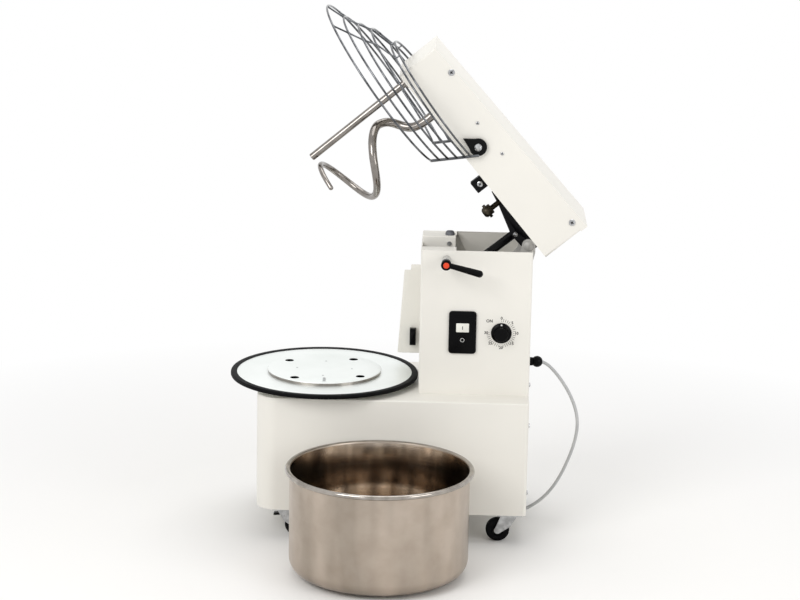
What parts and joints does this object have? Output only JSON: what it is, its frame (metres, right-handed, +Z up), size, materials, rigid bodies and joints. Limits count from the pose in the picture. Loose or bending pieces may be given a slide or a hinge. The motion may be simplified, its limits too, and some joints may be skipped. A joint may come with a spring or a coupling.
{
  "type": "spiral dough mixer",
  "caption": "Motor driven spiral dough mixer on castors, with a raised tilting head, wire bowl guard, spiral hook, turntable and a removable steel bowl.",
  "frame": {"origin": "on the floor, under the middle of the whole object's box, the mains cable and plug left out", "axes": "+X to the rear of the mixer, away from the turntable; +Y away from the side with the controls; +Z up"},
  "size_m": [0.7413, 0.7972, 1.0964],
  "materials": {
    "paint": "cream white powder coat",
    "paint_grey": "light grey powder coat",
    "black_steel": "black painted steel",
    "stainless": "brushed stainless steel",
    "polished": "satin stainless bar",
    "chromed": "chromed wire",
    "zinc": "zinc plated steel",
    "gearbox_iron": "grey cast housing",
    "rubber": "black rubber",
    "plastic": "black moulded plastic",
    "white_plastic": "white moulded plastic",
    "red_plastic": "orange red moulded plastic",
    "bronze": "dark bronzed brass",
    "cable_pvc": "grey cable sheath"
  },
  "bodies": {
    "root": {"base_shell": "paint", "base_floor": "paint", "column_shell": "paint", "side_wing": "paint", "bowl_switch": "plastic", "rest_bracket": "paint", "rest_bumper": "rubber", "hinge_bracket": "paint_grey", "hinge_pin": "zinc", "spring_stud": "zinc", "turntable_hub": "gearbox_iron", "turntable_gearbox": "gearbox_iron", "turntable_motor": "gearbox_iron", "switch_plate": "plastic", "switch_case": "plastic", "cable_gland": "plastic", "castor_plates": "zinc", "rear_screws": "zinc", "power_cable": "cable_pvc", "power_cable_coil": "cable_pvc", "mains_plug": "plastic"},
    "head": {"head_shell": "paint", "head_cover": "paint", "head_arms": "black_steel", "spring_bolt": "zinc", "catch_block": "black_steel", "adjuster_knob": "bronze", "breaker_bar": "polished", "spiral_gearbox": "gearbox_iron", "spiral_motor": "gearbox_iron", "head_screws": "zinc", "guard_pivots": "zinc"},
    "spiral": {"spiral_hook": "polished"},
    "guard": {"guard_cage": "chromed", "guard_bracket_near": "black_steel", "guard_bracket_far": "black_steel"},
    "turntable": {"turntable_disc": "stainless", "turntable_rim": "rubber", "bowl_plate": "stainless", "turntable_spindle": "zinc"},
    "bowl": {"bowl": "stainless", "bowl_studs": "stainless"},
    "lever": {"clamp_lever": "plastic", "lever_cap": "red_plastic", "lever_hub_and_cam": "zinc"},
    "start_button": {"start_button": "white_plastic"},
    "stop_button": {"stop_button": "plastic"},
    "timer_knob": {"timer_knob": "plastic"},
    "spring_tube": {"gas_spring_tube": "black_steel"},
    "spring_rod": {"gas_spring_rod": "zinc"},
    "castor_front_near": {"castor_fork_front_near": "zinc"},
    "wheel_front_near": {"castor_wheel_front_near": "rubber"},
    "brake_near": {"brake_pedal_near": "plastic"},
    "castor_front_far": {"castor_fork_front_far": "zinc"},
    "wheel_front_far": {"castor_wheel_front_far": "rubber"},
    "brake_far": {"brake_pedal_far": "plastic"},
    "castor_rear_near": {"castor_fork_rear_near": "zinc"},
    "wheel_rear_near": {"castor_wheel_rear_near": "rubber"},
    "castor_rear_far": {"castor_fork_rear_far": "zinc"},
    "wheel_rear_far": {"castor_wheel_rear_far": "rubber"}
  },
  "joints": [
    {"name": "head_tilt", "type": "hinge", "parent": "root", "child": "head", "pos_m": [0.25163, 0.15734, 0.615], "axis": [0, -1, 0], "range_deg": [0, 50.1]},
    {"name": "spring_swing", "type": "hinge", "parent": "head", "child": "spring_tube", "pos_m": [0.2237, 0.12634, 0.63687], "axis": [0, -1, 0], "range_deg": [-58.47, 2]},
    {"name": "spring_slide", "type": "slide", "parent": "spring_tube", "child": "spring_rod", "axis": [-0.7793, 0, -0.6266], "range_m": [-0.02458, 0.002]},
    {"name": "guard_lift", "type": "hinge", "parent": "head", "child": "guard", "pos_m": [0.14191, 0.15734, 0.82698], "axis": [0, 1, 0], "range_deg": [0, 38]},
    {"name": "spiral_spin", "type": "hinge", "parent": "head", "child": "spiral", "pos_m": [0.03995, 0.15734, 0.86816], "axis": [0.7672, 0, 0.6414], "continuous": true},
    {"name": "turntable_spin", "type": "hinge", "parent": "root", "child": "turntable", "pos_m": [-0.17107, 0.15734, 0.321], "axis": [0, 0, 1], "continuous": true},
    {"name": "bowl_lift", "type": "slide", "parent": "root", "child": "bowl", "axis": [0, 0, 1], "range_m": [0, 0.085]},
    {"name": "lever_turn", "type": "hinge", "parent": "root", "child": "lever", "pos_m": [0.08293, 0.06034, 0.5914], "axis": [0, 1, 0], "range_deg": [-60, 20]},
    {"name": "start_press", "type": "slide", "parent": "root", "child": "start_button", "axis": [0, 1, 0], "range_m": [0, 0.003], "stiffness_N_per_m": 400, "springref_m": -0.002},
    {"name": "stop_press", "type": "slide", "parent": "root", "child": "stop_button", "axis": [0, 1, 0], "range_m": [0, 0.003], "stiffness_N_per_m": 400, "springref_m": -0.002},
    {"name": "timer_turn", "type": "hinge", "parent": "root", "child": "timer_knob", "pos_m": [0.19953, 0.06034, 0.438], "axis": [0, 1, 0], "range_deg": [0, 300]},
    {"name": "castor_swivel_front_near", "type": "hinge", "parent": "root", "child": "castor_front_near", "pos_m": [-0.24207, 0.02434, 0.057], "axis": [0, 0, 1], "continuous": true},
    {"name": "wheel_roll_front_near", "type": "hinge", "parent": "castor_front_near", "child": "wheel_front_near", "pos_m": [-0.21807, 0.02434, 0.025], "axis": [0, 1, 0], "continuous": true},
    {"name": "brake_press_near", "type": "hinge", "parent": "castor_front_near", "child": "brake_near", "pos_m": [-0.23157, 0.02434, 0.0495], "axis": [0, -1, 0], "range_deg": [0, 8]},
    {"name": "castor_swivel_front_far", "type": "hinge", "parent": "root", "child": "castor_front_far", "pos_m": [-0.24207, 0.29034, 0.057], "axis": [0, 0, 1], "continuous": true},
    {"name": "wheel_roll_front_far", "type": "hinge", "parent": "castor_front_far", "child": "wheel_front_far", "pos_m": [-0.21807, 0.29034, 0.025], "axis": [0, 1, 0], "continuous": true},
    {"name": "brake_press_far", "type": "hinge", "parent": "castor_front_far", "child": "brake_far", "pos_m": [-0.23157, 0.29034, 0.0495], "axis": [0, -1, 0], "range_deg": [0, 8]},
    {"name": "castor_swivel_rear_near", "type": "hinge", "parent": "root", "child": "castor_rear_near", "pos_m": [0.22643, 0.02434, 0.057], "axis": [0, 0, 1], "continuous": true},
    {"name": "wheel_roll_rear_near", "type": "hinge", "parent": "castor_rear_near", "child": "wheel_rear_near", "pos_m": [0.20243, 0.02434, 0.025], "axis": [0, 1, 0], "continuous": true},
    {"name": "castor_swivel_rear_far", "type": "hinge", "parent": "root", "child": "castor_rear_far", "pos_m": [0.22643, 0.29034, 0.057], "axis": [0, 0, 1], "continuous": true},
    {"name": "wheel_roll_rear_far", "type": "hinge", "parent": "castor_rear_far", "child": "wheel_rear_far", "pos_m": [0.20243, 0.29034, 0.025], "axis": [0, 1, 0], "continuous": true}
  ],
  "couplings": [
    {"joint": "spring_swing", "follows": "head_tilt", "ratio": -1.1272},
    {"joint": "spring_slide", "follows": "head_tilt", "m_per_rad": -0.025825},
    {"joint": "spiral_spin", "follows": "turntable_spin", "ratio": 8}
  ]
}
